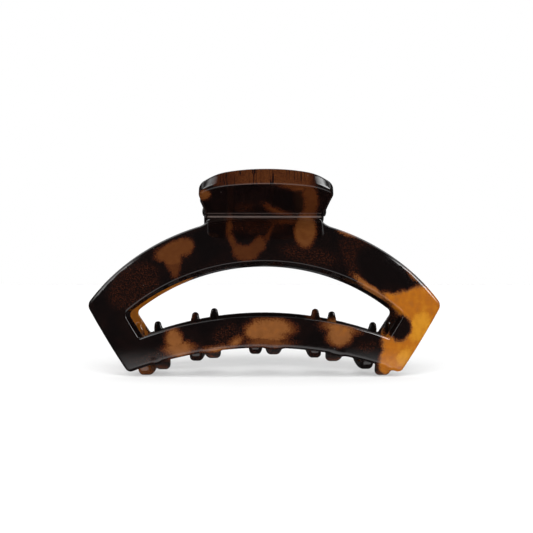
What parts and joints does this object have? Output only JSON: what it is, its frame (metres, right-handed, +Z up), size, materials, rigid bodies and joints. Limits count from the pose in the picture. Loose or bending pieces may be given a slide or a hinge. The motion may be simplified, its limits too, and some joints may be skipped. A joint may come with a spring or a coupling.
{
  "type": "claw clip",
  "caption": "Open-frame claw clip: two arched jaws with long hooked teeth and finger tabs, hinged on a steel pin and sprung shut, in glossy tortoiseshell plastic.",
  "frame": {"origin": "under the middle of the closed clip, level with its lowest teeth", "axes": "+X along the hinge pin, +Z up from the teeth to the finger tabs, the front jaw on the -Y side"},
  "size_m": [0.1066, 0.044, 0.0614],
  "materials": {
    "tortoiseshell": "polished tortoiseshell plastic, near-black brown with amber patches",
    "pin_steel": "plain steel pin with closed domed heads",
    "spring_steel": "drawn spring wire"
  },
  "bodies": {
    "back_jaw": {"back_jaw": "tortoiseshell", "hinge_pin": "pin_steel", "torsion_spring": "spring_steel"},
    "front_jaw": {"front_jaw": "tortoiseshell"}
  },
  "joints": [
    {"name": "jaw_hinge", "type": "hinge", "parent": "back_jaw", "child": "front_jaw", "pos_m": [0, 0, 0.0496], "axis": [-1, 0, 0], "range_deg": [0, 60], "stiffness_Nm_per_rad": 0.12, "springref_deg": -40.11, "deforming": ["torsion_spring"]}
  ]
}
